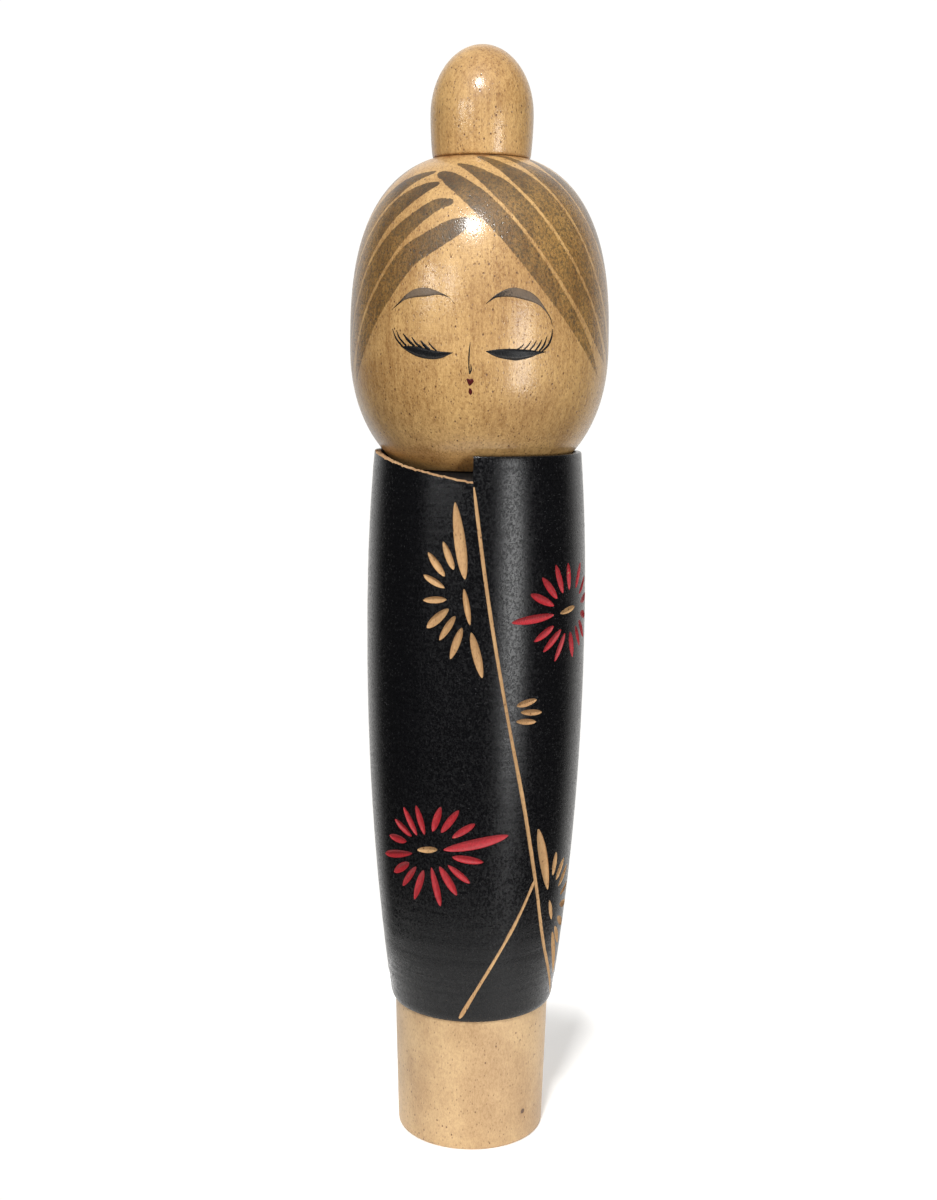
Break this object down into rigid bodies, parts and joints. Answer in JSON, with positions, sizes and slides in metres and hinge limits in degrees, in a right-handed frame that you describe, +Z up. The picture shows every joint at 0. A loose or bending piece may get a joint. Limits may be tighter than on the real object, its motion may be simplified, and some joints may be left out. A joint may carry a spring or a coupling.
{
  "type": "kokeshi doll",
  "caption": "Slender turned wooden doll with a painted face and hair bun, its head turning in the collar of a dark carved kimono above a bare wooden foot.",
  "frame": {"origin": "centre of the foot's underside", "axes": "+Z up along the turning axis, -Y the way the face looks, +X the doll's left"},
  "size_m": [0.0582, 0.0582, 0.25],
  "materials": {
    "kimono_paint": "black stain on turned wood, satin, with fine turning lines",
    "varnished_wood": "pale wood under clear varnish, satin gloss",
    "bare_wood": "bare cut wood, matt"
  },
  "bodies": {
    "trunk": {"body": "kimono_paint", "neck_dowel": "bare_wood"},
    "head_and_bun": {"head": "varnished_wood", "bun": "varnished_wood", "bun_dowel": "bare_wood"}
  },
  "joints": [
    {"name": "head_turn", "type": "hinge", "parent": "trunk", "child": "head_and_bun", "pos_m": [0, 0, 0.1536], "axis": [0, 0, 1], "continuous": true}
  ]
}
